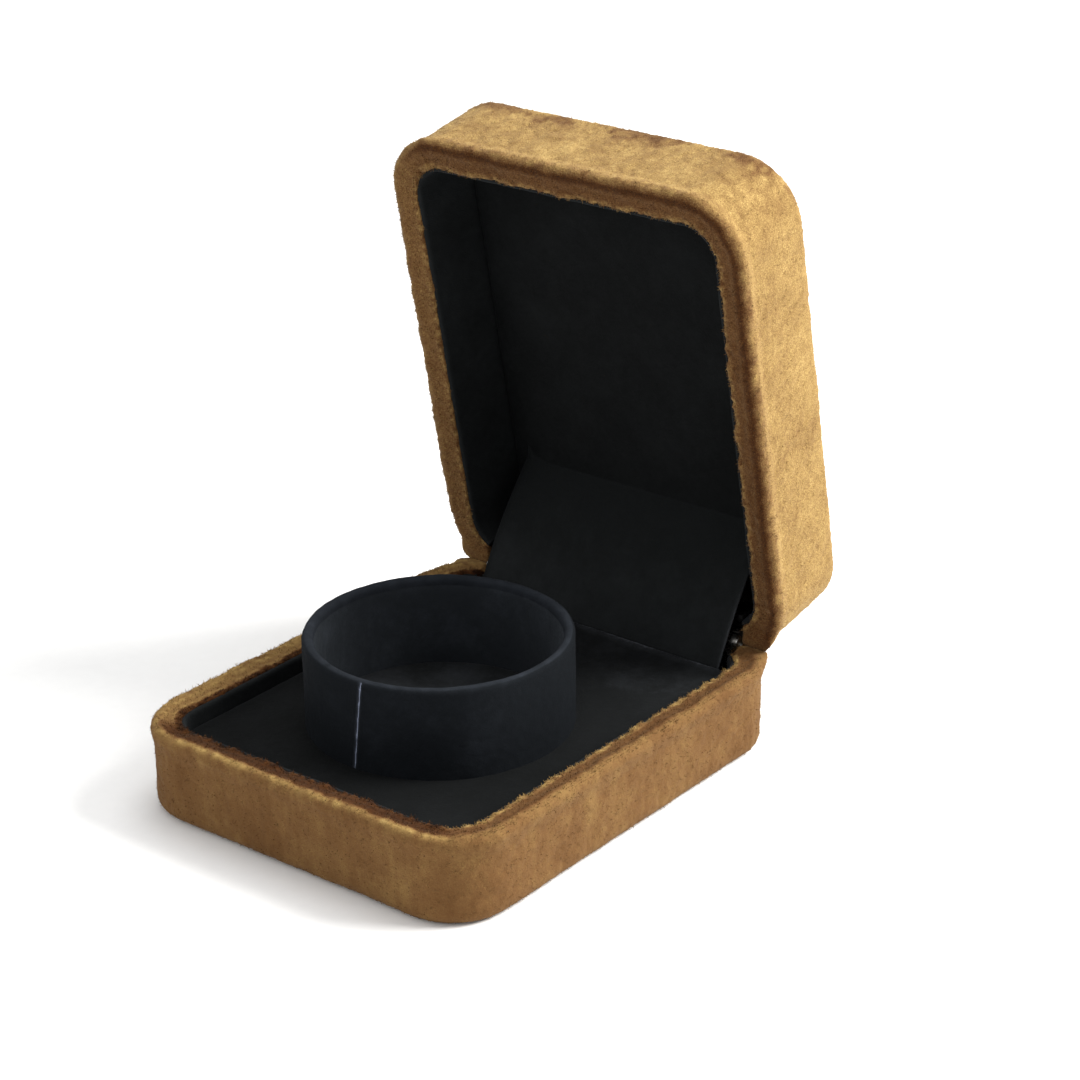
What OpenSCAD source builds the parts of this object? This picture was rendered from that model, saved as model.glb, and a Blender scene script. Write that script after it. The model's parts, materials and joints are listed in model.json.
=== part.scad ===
// Hinged, velvet-covered box for a bangle, shown with its lid open.
// Units are millimetres. The origin is the centre of the underside, +Z is up,
// the lid opens at the front (-Y) and the hinges are at the rear (+Y).

/* [Box] */
// Overall width, across the velvet
box_w = 90; // [84:1:100]
// Overall depth, front to rear
box_d = 108.6; // [104:0.2:120]
// Height of the base, underside to rim
base_h = 19.5; // [18:0.5:24]
// Height of the lid, rim to top
lid_h = 24.2; // [23.8:0.2:30]
// Corner radius of the box seen from above
corner_r = 13.8; // [12:0.2:18]
// How far the lid opens, in degrees
open_angle = 79; // [60:1:100]

/* [Shell and velvet] */
// Thickness of the outer velvet with its pile
velvet_t = 1.4; // [1:0.1:1.8]
// Thickness of the moulded shell walls
wall_t = 3.4; // [3.2:0.1:3.8]
// Thickness of the shell floor and of the lid's top
floor_t = 2; // [1.5:0.1:2.5]
// Thickness of the black side linings
lining_t = 1.3; // [1:0.1:1.6]

/* [Insert and pad] */
// Height of the platform's velvet surface above the underside
platform_z = 15.3; // [13:0.1:16]
// Gap between the platform's rear edge and the rear face of the box
platform_rear_gap = 9.1; // [8.6:0.1:12]
// Thickness of the foam in the lid pad
pad_foam_t = 2; // [1:0.2:2.4]

/* [Bangle holder] */
// Outer diameter of the holder tube
holder_d = 56; // [46:1:60]
// Height of the tube above the platform
holder_h = 20; // [10:0.5:20.4]
// Place of the tube's axis along Y
holder_y = -7.2; // [-12:0.2:0]
// Direction of the seam in the tube's velvet, in degrees from +X
seam_angle = 274; // [180:1:330]

/* [Hinges] */
// Distance of the hinge axis inside the rear face
hinge_inset = 3.1; // [3:0.1:3.4]
// Pin diameter
pin_d = 1.6; // [1.4:0.1:1.7]
// Outer end of each hinge, measured from the middle of the box
hinge_end = 34; // [32:0.5:34]
// Width of the black cloth strip over the hinges
strip_w = 66; // [60:1:67]

/* [Hidden] */
$fn = 96;

// Gap between the closed rims, half of it on each half of the box
parting_gap = 0.4;
hinge_y = box_d / 2 - hinge_inset;
hinge_z = base_h + parting_gap / 2;
lid_rim_z = base_h + parting_gap;
lid_top_z = lid_rim_z + lid_h;
// Each rear wall is bevelled to half the opening angle, plus a little
bevel_ease = 0.5;
bevel = open_angle / 2 + bevel_ease;

// Outer velvet: edge rounding, cover over the rim, turned-in edge, turned-under edge
edge_r = 2.2;
rim_t = 1.2;
turn_in_t = 0.9;
turn_in = 7;
turn_under = 9;
turn_under_z = 0.2;

// Distances outward from a corner's centre, used by every swept section
u_out = corner_r;
u_shell = u_out - velvet_t;
u_wall = u_shell - wall_t;
u_lip = u_wall - turn_in_t;
u_lining = u_lip - lining_t;
fit_gap = 0.15;
u_insert = u_lining - fit_gap;

// Insert and pad: skin over a board
skin_t = 0.8;
skirt_z = 10;
card_t = 1.2;
platform_skin_t = 1.2;
platform_rear_y = box_d / 2 - platform_rear_gap;
pad_card_t = 1;
pad_ceiling_z = lid_top_z - velvet_t - floor_t;
pad_face_z = pad_ceiling_z - pad_card_t - pad_foam_t - skin_t;
// Side linings: drop below the rim, and gap beside the hinges
lining_drop = 0.9;
lining_end_gap = 1.2;

// Bangle holder: velvet outside, board tube, lining inside
holder_r = holder_d / 2;
sleeve_t = 0.8;
core_t = 1;
tube_lining_t = 0.6;
core_r = holder_r - sleeve_t;
core_in_r = core_r - core_t;
holder_in_r = core_in_r - tube_lining_t;
holder_top_z = platform_z + holder_h;
seam_gap = 0.2;
tab_w = 8;
tab_angles = [45, 135, 225, 315];
tab_gap = 0.1;

// Hinge: two leaves of 0.8 mm steel rolled round a pin
leaf_t = 0.8;
leaf_h = 9.9;
hinge_len = 20;
knuckle_r = pin_d / 2 + leaf_t;
pin_clearance = 0.06;
// Room in the rear walls round the knuckles, past a pin's ends, past a leaf's
// ends, below a leaf and in front of it
pocket_gap = 0.35;
pocket_end_gap = 1;
leaf_end_gap = 0.2;
leaf_below_gap = 1;
pocket_front = 3;
head_t = 0.5;
head_r = 1.3;
// Knuckles along X from the inner end of a hinge, as [start, length]
base_knuckles = [[0, 4], [16, 4]];
lid_knuckles = [[4.2, 3.2], [12.6, 3.2]];
slot_start = 7.6;
slot_w = 4.8;
hook_drop = 5.5;
spring_t = 0.3;
spring_w = 4.2;
spring_bow = 3.3;
spring_steps = 16;
screw_r = 0.8;
screw_head_r = 1.4;
screw_head_t = 0.6;
screw_len = 3;
// Screws along X from the inner end of a hinge, and their drop below the axis
screw_x = [3.4, 16.6];
screw_drop = 6.4;
leaf_y = box_d / 2 - velvet_t - wall_t - leaf_t;

// Cloth strip: glued behind the platform, bowed up to the lid pad
strip_t = 0.6;
strip_tail = 6;
strip_turn = 18;
strip_steps = 10;
strip_reach = 20;
strip_glue_y = hinge_y - strip_reach;
strip_overlap = 6;

straight_x = box_w - 2 * corner_r;
straight_y = box_d - 2 * corner_r;

// Where a point [y, z] of the closed lid is when the lid is open
function opened(p) = [
    hinge_y + (p[0] - hinge_y) * cos(open_angle) + (p[1] - hinge_z) * sin(open_angle),
    hinge_z - (p[0] - hinge_y) * sin(open_angle) + (p[1] - hinge_z) * cos(open_angle)
];

// A section [u, z] carried round the box: u runs outward from the corners' centres
module round_the_box() {
    for (turn = [0, 1, 2, 3]) {
        along = turn % 2 == 0 ? straight_y : straight_x;
        across = turn % 2 == 0 ? straight_x : straight_y;
        rotate([0, 0, 90 * turn])
        translate([across / 2, along / 2, 0]) {
            rotate([90, 0, 0]) linear_extrude(along) children();
            rotate_extrude(angle = 90) children();
        }
    }
}

// Box-shaped outline whose sides lie u outward from the corners' centres
module outline(u) {
    square([straight_x + 2 * u, straight_y], center = true);
    square([straight_x, straight_y + 2 * u], center = true);
    for (x = [-1, 1], y = [-1, 1])
        translate([x * straight_x / 2, y * straight_y / 2]) circle(u);
}

// Rectangle from [u0, z0] to [u1, z1]
module band(u0, z0, u1, z1) {
    translate([u0, z0]) square([u1 - u0, z1 - z0]);
}

// Quarter-round edge of radius r, its centre at [u, z], outward and down
module low_edge(u, z, r) {
    intersection() {
        translate([u, z]) circle(r);
        band(u, z - r, u + r, z);
    }
}

module at_hinge() {
    translate([0, hinge_y, hinge_z]) children();
}

// Puts a part drawn on the base, below the hinge plane, on the closed lid
module over_hinge_plane() {
    translate([0, 0, 2 * hinge_z]) mirror([0, 0, 1]) children();
}

// Carries a part drawn on the closed lid to where it is when the lid is open
module open_lid() {
    at_hinge() rotate([-open_angle, 0, 0])
    translate([0, -hinge_y, -hinge_z]) children();
}

// Turns a half drawn open side up over, onto the closed base
module lid_half() {
    translate([0, 0, lid_top_z]) mirror([0, 0, 1]) children();
}

// Both hinges: children are drawn for the +X one, from its inner end at x = 0
module both_hinges() {
    for (side = [0, 1])
        mirror([side, 0, 0]) translate([hinge_end - hinge_len, 0, 0]) children();
}

// Cylinder along +X
module rod(r, length) {
    rotate([0, 90, 0]) cylinder(h = length, r = r);
}

// Everything above the bevelled rear edge, at a distance below the bevel's plane
module bevel_cut(depth) {
    at_hinge() rotate([-bevel, 0, 0])
    translate([-box_w, 0, -depth]) cube([2 * box_w, box_d, box_d]);
}

// Room for the leaves, webs and knuckles in the top of the rear wall
module hinge_pocket() {
    room = knuckle_r + pocket_gap;
    both_hinges() {
        translate([-pocket_end_gap, hinge_y, hinge_z])
            rod(room, hinge_len + 2 * pocket_end_gap);
        translate([-pocket_end_gap, leaf_y - pocket_front, hinge_z - room])
            cube([hinge_len + 2 * pocket_end_gap, hinge_y - leaf_y + pocket_front, 2 * room]);
        translate([-leaf_end_gap, leaf_y - pocket_front, hinge_z - leaf_h - leaf_below_gap])
            cube([hinge_len + 2 * leaf_end_gap, leaf_t + pocket_front, 2 * leaf_h]);
    }
}

module screw_holes() {
    both_hinges() for (x = screw_x)
        translate([x, leaf_y, hinge_z - screw_drop])
        rotate([-90, 0, 0]) cylinder(h = screw_len, r = screw_r);
}

// The walls of one half, open side up, from the outer face to just under the rim
module walls(height) {
    difference() {
        round_the_box() {
            band(0, velvet_t, u_out - edge_r, edge_r);
            band(u_wall, edge_r, u_shell, height - rim_t);
            low_edge(u_out - edge_r, edge_r, edge_r - velvet_t);
        }
        translate([0, 0, height - base_h]) bevel_cut(velvet_t + parting_gap / 2);
    }
}

// Shell of one half, open side up
module shell(height) {
    difference() {
        union() {
            walls(height);
            round_the_box() band(0, velvet_t, u_wall, velvet_t + floor_t);
            translate([-straight_x / 2, -straight_y / 2, velvet_t])
                cube([straight_x, straight_y, floor_t]);
        }
        translate([0, 0, height - base_h]) {
            hinge_pocket();
            screw_holes();
        }
    }
}

// Velvet of one half: up the side, over the rim and turned in. Below, it is
// turned under as far as u_end and no lower than z_end
module velvet(height, u_end, z_end) {
    edge_u = u_out - edge_r;
    difference() {
        union() {
            round_the_box() {
                band(u_lip, height - turn_in, u_out, height);
                band(u_wall, edge_r, u_out, height);
                band(u_end, z_end, edge_u, velvet_t);
                difference() {
                    low_edge(edge_u, edge_r, edge_r);
                    band(edge_u, z_end - edge_r, u_out, z_end);
                }
            }
            if (u_end == 0)
                translate([-straight_x / 2, -straight_y / 2, z_end])
                    cube([straight_x, straight_y, velvet_t - z_end]);
        }
        walls(height);
        translate([0, 0, height - base_h]) {
            bevel_cut(parting_gap / 2);
            hinge_pocket();
        }
    }
}

// Black lining inside one half: three sides and the rear corners
module side_lining(z0, z1) {
    rear_gap = hinge_end + lining_end_gap;
    difference() {
        round_the_box() band(u_lining, z0, u_lip, z1);
        translate([-rear_gap, box_d / 4, z0 - 1]) cube([2 * rear_gap, box_d, z1 - z0 + 2]);
    }
}

module insert_outline(inset) {
    intersection() {
        outline(u_insert - inset);
        translate([-box_w, platform_rear_y - inset - 2 * box_d])
            square([2 * box_w, 2 * box_d]);
    }
}

// Tabs under the tube, through the platform's velvet and card, with room round them
module holder_tabs(room) {
    z = platform_z - platform_skin_t - card_t;
    translate([0, holder_y, 0]) intersection() {
        rotate_extrude() band(core_in_r - room, z, core_r + room, platform_z);
        for (a = tab_angles)
            rotate([0, 0, a]) translate([0, -tab_w / 2 - room, z])
            cube([holder_r, tab_w + 2 * room, platform_z - z]);
    }
}

// One leaf of a hinge, on the base side
module leaf(knuckles) {
    difference() {
        union() {
            translate([0, leaf_y, hinge_z - leaf_h - leaf_t])
                cube([hinge_len, leaf_t, leaf_h]);
            for (k = knuckles) {
                translate([k[0], leaf_y, hinge_z - knuckle_r])
                    cube([k[1], hinge_y - leaf_y, leaf_t]);
                translate([k[0], hinge_y, hinge_z]) rod(knuckle_r, k[1]);
            }
        }
        translate([slot_start, leaf_y - 1, hinge_z - hook_drop])
            cube([slot_w, leaf_t + 2, hook_drop]);
        for (x = screw_x)
            translate([x, leaf_y - 1, hinge_z - screw_drop])
            rotate([-90, 0, 0]) cylinder(h = screw_len, r = screw_r);
    }
}

module screws() {
    both_hinges() for (x = screw_x)
        translate([x, leaf_y, hinge_z - screw_drop]) rotate([-90, 0, 0]) {
            cylinder(h = screw_len, r = screw_r);
            translate([0, 0, -screw_head_t]) cylinder(h = screw_head_t, r = screw_head_r);
        }
}

// Centre of the arc from p to q [y, z] that turns by this angle, convex to the front
function arc_radius(p, q, turn) = norm(q - p) / (2 * sin(turn / 2));
function arc_start(p, q, turn) = atan2(q[1] - p[1], q[0] - p[0]) + 90 + turn / 2;
function arc_centre(p, q, turn) = let(a = arc_start(p, q, turn))
    p - arc_radius(p, q, turn) * [cos(a), sin(a)];
function arc_points(p, q, turn, steps) = [for (i = [0:steps])
    let(a = arc_start(p, q, turn) - turn * i / steps)
    arc_centre(p, q, turn) + arc_radius(p, q, turn) * [cos(a), sin(a)]];

// Point i of a path, moved sideways to its left
function beside(path, i, shift) = let(
    way = path[min(i + 1, len(path) - 1)] - path[max(i - 1, 0)])
    path[i] + shift * [-way[1], way[0]] / norm(way);

// Sheet of one thickness that follows a path [y, z], w wide along X
module sheet_along(path, thick, w) {
    last = len(path) - 1;
    rotate([90, 0, 90]) linear_extrude(w) polygon(concat(
        [for (i = [0:last]) beside(path, i, thick / 2)],
        [for (i = [last:-1:0]) beside(path, i, -thick / 2)]));
}

module base_shell() {
    color("dimgray") shell(base_h);
}

module base_velvet() {
    color("peru") velvet(base_h, u_out - turn_under, turn_under_z);
}

module underside_sheet() {
    color("saddlebrown") linear_extrude(velvet_t) outline(u_out - turn_under);
}

module insert_foam() {
    z0 = velvet_t + floor_t;
    color("darkslategray") translate([0, 0, z0])
        linear_extrude(platform_z - platform_skin_t - card_t - z0) insert_outline(skin_t);
}

module insert_card() {
    color("tan") difference() {
        translate([0, 0, platform_z - platform_skin_t - card_t])
            linear_extrude(card_t) insert_outline(skin_t);
        holder_tabs(tab_gap);
    }
}

module insert_velvet() {
    color("black") difference() {
        translate([0, 0, skirt_z]) linear_extrude(platform_z - skirt_z) insert_outline(0);
        translate([0, 0, skirt_z - 1])
            linear_extrude(platform_z - platform_skin_t - skirt_z + 1) insert_outline(skin_t);
        holder_tabs(tab_gap);
    }
}

module base_side_lining() {
    color("black") side_lining(velvet_t + floor_t, base_h - lining_drop);
}

module holder_core() {
    color("tan") {
        translate([0, holder_y, 0]) rotate_extrude()
            band(core_in_r, platform_z, core_r, holder_top_z - sleeve_t);
        holder_tabs(0);
    }
}

module holder_sleeve() {
    gap_angle = 2 * asin(seam_gap / holder_d);
    corner = sleeve_t;
    color("black") translate([0, holder_y, 0])
    rotate([0, 0, seam_angle + gap_angle / 2])
    rotate_extrude(angle = 360 - gap_angle) {
        band(core_r, platform_z, holder_r, holder_top_z - corner);
        intersection() {
            translate([holder_r - corner, holder_top_z - corner]) circle(corner);
            band(holder_r - corner, holder_top_z - corner, holder_r, holder_top_z);
        }
        band(holder_in_r, holder_top_z - corner, holder_r - corner, holder_top_z);
    }
}

module holder_lining() {
    color("black") translate([0, holder_y, 0]) rotate_extrude()
        band(holder_in_r, platform_z, core_in_r, holder_top_z - sleeve_t);
}

module base_hinge_leaves() {
    color("silver") both_hinges() difference() {
        leaf(base_knuckles);
        translate([-1, hinge_y, hinge_z]) rod(pin_d / 2, hinge_len + 2);
    }
}

module base_hinge_screws() {
    color("gainsboro") screws();
}

module hinge_pins() {
    color("gainsboro") both_hinges() translate([0, hinge_y, hinge_z]) {
        translate([-head_t, 0, 0]) rod(pin_d / 2, hinge_len + 2 * head_t);
        translate([-head_t, 0, 0]) rod(head_r, head_t);
        translate([hinge_len, 0, 0]) rod(head_r, head_t);
    }
}

module hinge_springs() {
    y = leaf_y + leaf_t / 2;
    low = [y, hinge_z - hook_drop + spring_t];
    high = opened([y, hinge_z + hook_drop - spring_t]);
    turn = 4 * atan(2 * spring_bow / norm(high - low));
    color("silver") both_hinges()
        translate([slot_start + (slot_w - spring_w) / 2, 0, 0])
        sheet_along(arc_points(low, high, turn, spring_steps), spring_t, spring_w);
}

module hinge_strip() {
    y = platform_rear_y + strip_t / 2;
    z = pad_face_z - strip_t / 2;
    low = [y, platform_z];
    high = opened([strip_glue_y, z]);
    path = concat([[y, platform_z - strip_tail]],
        arc_points(low, high, strip_turn, strip_steps),
        [opened([strip_glue_y - strip_overlap, z])]);
    color("black") translate([-strip_w / 2, 0, 0]) sheet_along(path, strip_t, strip_w);
}

module lid_shell() {
    color("dimgray") open_lid() lid_half() shell(lid_h);
}

module lid_velvet() {
    color("peru") open_lid() lid_half() velvet(lid_h, 0, 0);
}

module lid_side_lining() {
    color("black") open_lid() side_lining(lid_rim_z + lining_drop, pad_ceiling_z);
}

module lid_pad_card() {
    color("tan") open_lid() translate([0, 0, pad_ceiling_z - pad_card_t])
        linear_extrude(pad_card_t) outline(u_insert - skin_t);
}

module lid_pad_foam() {
    color("darkslategray") open_lid() translate([0, 0, pad_face_z + skin_t])
        linear_extrude(pad_foam_t) outline(u_insert - skin_t);
}

module lid_pad_velvet() {
    color("black") open_lid() difference() {
        translate([0, 0, pad_face_z])
            linear_extrude(pad_ceiling_z - pad_face_z) outline(u_insert);
        translate([0, 0, pad_face_z + skin_t])
            linear_extrude(pad_ceiling_z - pad_face_z) outline(u_insert - skin_t);
    }
}

module lid_hinge_leaves() {
    color("silver") open_lid() over_hinge_plane() both_hinges() difference() {
        leaf(lid_knuckles);
        translate([-1, hinge_y, hinge_z]) rod(pin_d / 2 + pin_clearance, hinge_len + 2);
    }
}

module lid_hinge_screws() {
    color("gainsboro") open_lid() over_hinge_plane() screws();
}

base_shell();
base_velvet();
underside_sheet();
insert_foam();
insert_card();
insert_velvet();
base_side_lining();
holder_core();
holder_sleeve();
holder_lining();
base_hinge_leaves();
base_hinge_screws();
hinge_pins();
hinge_springs();
hinge_strip();
lid_shell();
lid_velvet();
lid_side_lining();
lid_pad_card();
lid_pad_foam();
lid_pad_velvet();
lid_hinge_leaves();
lid_hinge_screws();
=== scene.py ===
"""Open velvet bangle box: cloth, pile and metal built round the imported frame."""
import json
import math
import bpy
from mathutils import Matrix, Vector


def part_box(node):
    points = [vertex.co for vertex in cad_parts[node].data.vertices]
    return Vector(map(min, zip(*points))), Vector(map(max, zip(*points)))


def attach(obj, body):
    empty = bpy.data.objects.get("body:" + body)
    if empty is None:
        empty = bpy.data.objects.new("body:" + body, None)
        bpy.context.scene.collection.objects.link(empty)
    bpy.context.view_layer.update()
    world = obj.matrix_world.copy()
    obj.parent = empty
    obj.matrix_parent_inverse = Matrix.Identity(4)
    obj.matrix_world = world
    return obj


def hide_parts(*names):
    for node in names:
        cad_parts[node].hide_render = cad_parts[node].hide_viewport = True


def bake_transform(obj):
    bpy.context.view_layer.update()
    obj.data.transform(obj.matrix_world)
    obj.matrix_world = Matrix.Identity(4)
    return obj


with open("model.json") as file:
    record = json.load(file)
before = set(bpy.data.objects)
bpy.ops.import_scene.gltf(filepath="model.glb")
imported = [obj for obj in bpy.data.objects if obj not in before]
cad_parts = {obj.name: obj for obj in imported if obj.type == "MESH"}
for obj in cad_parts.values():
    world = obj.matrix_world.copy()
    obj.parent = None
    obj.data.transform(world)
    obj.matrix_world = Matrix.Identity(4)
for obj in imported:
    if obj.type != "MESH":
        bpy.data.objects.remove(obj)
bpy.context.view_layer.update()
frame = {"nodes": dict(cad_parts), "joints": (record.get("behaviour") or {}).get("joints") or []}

from types import SimpleNamespace

import bpy
import numpy as np
from mathutils import Matrix, Vector

MM = 0.001
RNG = np.random.default_rng(7)

# ------------------------ places, from the frame

joint = frame["joints"][0]
HINGE = np.array(joint["pos_m"])
OPEN = math.radians(joint["range_deg"][1])


def vertex_rows(mesh, key):
    """A mesh's points ("co") or normals ("normal") as rows of three."""
    flat = np.empty(len(mesh.vertices) * 3)
    mesh.vertices.foreach_get(key, flat)
    return flat.reshape(-1, 3)


def rotated(ways, angle):
    """Directions turned about the X axis by an angle."""
    c, s = math.cos(angle), math.sin(angle)
    y, z = ways[..., 1], ways[..., 2]
    return np.stack([ways[..., 0], y * c - z * s, y * s + z * c], -1)


def turned(points, angle):
    """Points turned about the hinge by an angle, positive closing the lid."""
    return HINGE + rotated(np.asarray(points, float) - HINGE, angle)


def closed_box(node):
    """Lowest and highest corners of a lid node with the lid shut."""
    points = turned(vertex_rows(frame["nodes"][node].data, "co"), OPEN)
    return points.min(0), points.max(0)


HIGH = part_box("base_velvet")[1]
LID_LOW, LID_HIGH = closed_box("lid_velvet")
HALF_X, HALF_Y = HIGH[0], HIGH[1]
BASE_H = HIGH[2]
LID_TOP, LID_RIM = LID_HIGH[2], LID_LOW[2]
LID_H = LID_TOP - LID_RIM
GAP = LID_RIM - BASE_H
CORNER = 13.8 * MM
LIP = CORNER - (HALF_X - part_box("base_side_lining")[1][0])
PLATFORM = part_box("insert_velvet")
U_PLATFORM = CORNER - (HALF_X - PLATFORM[1][0])
LINING_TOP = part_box("base_side_lining")[1][2]
PAD = closed_box("lid_pad_velvet")
LID_LINING = closed_box("lid_side_lining")
U_LINING = U_PLATFORM + 0.15 * MM
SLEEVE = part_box("holder_sleeve")
TUBE_R = (SLEEVE[1][0] - SLEEVE[0][0]) / 2 + 0.02 * MM
TUBE_Y = (SLEEVE[1][1] + SLEEVE[0][1]) / 2
TUBE_TOP = SLEEVE[1][2]
TUBE_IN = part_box("holder_lining")[1][0] - 0.6 * MM
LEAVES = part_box("base_hinge_leaves")
HINGE_END = LEAVES[1][0]
HINGE_LEN = 20 * MM
POCKET_R = 1.95 * MM
BEVEL = OPEN / 2 + math.radians(0.5)

# ------------------------ numbers and noise


def noise(points, size, seed):
    """Smooth noise from -1 to 1 with features about size across."""
    table = np.random.default_rng(seed).random((32, 32, 32)) * 2 - 1
    p = np.asarray(points, float) / size + 100.5
    cell = np.floor(p).astype(int)
    f = p - cell
    f = f * f * (3 - 2 * f)
    total = np.zeros(len(p))
    for corner in range(8):
        step = np.array([corner & 1, corner >> 1 & 1, corner >> 2])
        weight = np.prod(np.where(step, f, 1 - f), axis=1)
        i, j, k = ((cell + step) % 32).T
        total += weight * table[i, j, k]
    return total


def layered(points, size, seed, layers=3):
    return sum(noise(points, size / 2**i, seed + i) / 2**i for i in range(layers)) / 1.6


def step_between(a, b, x):
    t = np.clip((x - a) / (b - a), 0, 1)
    return t * t * (3 - 2 * t)


def resampled(points, spacing, soften=0.0):
    """A polyline as evenly spaced points, its corners rounded over about soften."""
    points = np.asarray(points, float)
    run = np.r_[0, np.cumsum(np.linalg.norm(np.diff(points, axis=0), axis=1))]
    fine = np.linspace(0, run[-1], max(int(run[-1] / (spacing / 8)), 16))
    line = np.stack([np.interp(fine, run, c) for c in points.T], 1)
    if soften:
        reach = int(3 * soften / (fine[1] - fine[0]))
        kernel = np.exp(-0.5 * (np.arange(-reach, reach + 1) / (reach / 3)) ** 2)
        kernel /= kernel.sum()
        padded = np.vstack([2 * line[0] - line[reach:0:-1], line,
                            2 * line[-1] - line[-2:-reach - 2:-1]])
        line = np.stack([np.convolve(c, kernel, "valid") for c in padded.T], 1)
    run = np.r_[0, np.cumsum(np.linalg.norm(np.diff(line, axis=0), axis=1))]
    even = np.linspace(0, run[-1], max(int(round(run[-1] / spacing)), 2) + 1)
    return np.stack([np.interp(even, run, c) for c in line.T], 1)


def rounded(centre, radii, turn, steps):
    """Points of a section's rounded corner, from straight out round by the angle turn."""
    angles = [turn * k / steps for k in range(steps + 1)]
    return [(centre[0] + radii[0] * math.cos(a), centre[1] + radii[1] * math.sin(a))
            for a in angles]


# ------------------------ meshes


def grid_faces(rows, columns, closed=False):
    """Quads of a grid of rows x columns points, closed if the last column meets the first."""
    r = np.arange(rows - 1)[:, None]
    c = np.arange(columns if closed else columns - 1)[None]
    n = (c + 1) % columns
    quads = np.stack([r * columns + c, (r + 1) * columns + c,
                      (r + 1) * columns + n, r * columns + n], -1)
    return quads.reshape(-1, 4)


def normals_of(points, faces):
    """Unit vertex normals of a mesh of quads."""
    a, b, c, d = (points[faces[:, i]] for i in range(4))
    across = np.cross(c - a, d - b)
    total = np.zeros_like(points)
    for i in range(4):
        np.add.at(total, faces[:, i], across)
    return total / np.maximum(np.linalg.norm(total, axis=1, keepdims=True), 1e-12)


def store_nap(mesh, nap):
    layer = mesh.attributes.new("nap", "FLOAT", "POINT")
    layer.data.foreach_set("value", nap.astype(np.float32))


def make(name, points, faces, material, nap=None, flip=False):
    """A mesh object from arrays of points and faces, with its nap stored on its points."""
    mesh = bpy.data.meshes.new(name)
    rows = [list(map(int, f[::-1] if flip else f)) for f in faces]
    mesh.from_pydata([tuple(map(float, p)) for p in points], [], rows)
    mesh.polygons.foreach_set("use_smooth", [True] * len(mesh.polygons))
    if nap is not None:
        store_nap(mesh, np.clip(nap, 0, 1))
    mesh.materials.append(material)
    mesh.update()
    piece = bpy.data.objects.new(name, mesh)
    bpy.context.scene.collection.objects.link(piece)
    return piece


class RoundPath:
    """The way round a rounded rectangle: points of the outline and outward directions.

    It starts in the middle of the rear right corner and runs anticlockwise. Opposite
    sides, between the middles of the corners, have the same number of steps.
    """

    def __init__(self, spacing, half_x, front, rear, front_radius, rear_radius):
        radii = np.array([rear_radius, rear_radius, front_radius, front_radius])
        corners = np.array([[half_x, rear], [-half_x, rear], [-half_x, front], [half_x, front]])
        centres = corners - radii[:, None] * [[1, 1], [-1, 1], [-1, -1], [1, -1]]
        lines, ways, self.sides = [], [], []
        for side in range(4):
            after = (side + 1) % 4
            here, there = centres[side], centres[after]
            turn, turn_after = radii[side] * math.pi / 4, radii[after] * math.pi / 4
            angle = math.pi / 4 + side * math.pi / 2
            middle = angle + math.pi / 4
            out = np.array([math.cos(middle), math.sin(middle)])
            length = abs(np.dot(there - here, [out[1], -out[0]]))
            whole = turn + length + turn_after
            steps = self.sides[side - 2] if side > 1 else int(round(whole / spacing))
            self.sides.append(steps)
            run = np.arange(steps) / steps * whole
            first, last = run < turn, run > turn + length
            heading = np.full(steps, middle)
            heading[first] = angle + run[first] / radii[side]
            heading[last] = middle + (run[last] - turn - length) / radii[after]
            way = np.stack([np.cos(heading), np.sin(heading)], 1)
            along = np.clip(run - turn, 0, length)[:, None] * np.array([-out[1], out[0]])
            radius = np.where(last, radii[after], radii[side])[:, None]
            origin = np.where(last[:, None], there, here + along * ~last[:, None])
            lines.append(origin + way * radius)
            ways.append(way)
        self.line, self.ways = np.vstack(lines), np.vstack(ways)

    def sweep(self, profile, keep=None):
        """Points of a section [out, z] carried round: out is measured from the outline."""
        line, ways = self.line, self.ways
        if keep is not None:
            line, ways = line[keep], ways[keep]
        flat = line[None] + profile[:, :1, None] * ways[None]
        z = np.broadcast_to(profile[:, 1:, None], flat.shape[:2] + (1,))
        return np.concatenate([flat, z], -1)

    def fill(self, ring):
        """A sheet of points inside a closed ring on this path: [x step, y step]."""
        nx, ny = self.sides[0], self.sides[1]
        rear = ring[: nx + 1]
        left = ring[nx : nx + ny + 1]
        front = ring[nx + ny : 2 * nx + ny + 1][::-1]
        right = np.vstack([ring[2 * nx + ny :], ring[:1]])[::-1]
        u = np.linspace(0, 1, nx + 1)[:, None, None]
        v = np.linspace(0, 1, ny + 1)[None, :, None]
        return ((1 - v) * rear[:, None] + v * front[:, None]
                + (1 - u) * right[None] + u * left[None]
                - (1 - u) * (1 - v) * rear[0] - u * (1 - v) * rear[-1]
                - (1 - u) * v * front[0] - u * v * front[-1])

    def fill_indices(self, ring_first, inside_first):
        """Point numbers of that sheet: its border is the ring, its inside is new."""
        nx, ny = self.sides[0], self.sides[1]
        count = 2 * (nx + ny)
        number = np.empty((nx + 1, ny + 1), int)
        number[:, 0] = ring_first + np.arange(nx + 1)
        number[-1, :] = ring_first + nx + np.arange(ny + 1)
        number[:, -1] = ring_first + (2 * nx + ny - np.arange(nx + 1))
        number[0, :] = ring_first + (count - np.arange(ny + 1)) % count
        number[1:-1, 1:-1] = inside_first + np.arange((nx - 1) * (ny - 1)).reshape(nx - 1, ny - 1)
        return number


def quads_of(number):
    a, b = number[:-1, :-1], number[1:, :-1]
    c, d = number[1:, 1:], number[:-1, 1:]
    return np.stack([a, b, c, d], -1).reshape(-1, 4)


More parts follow.
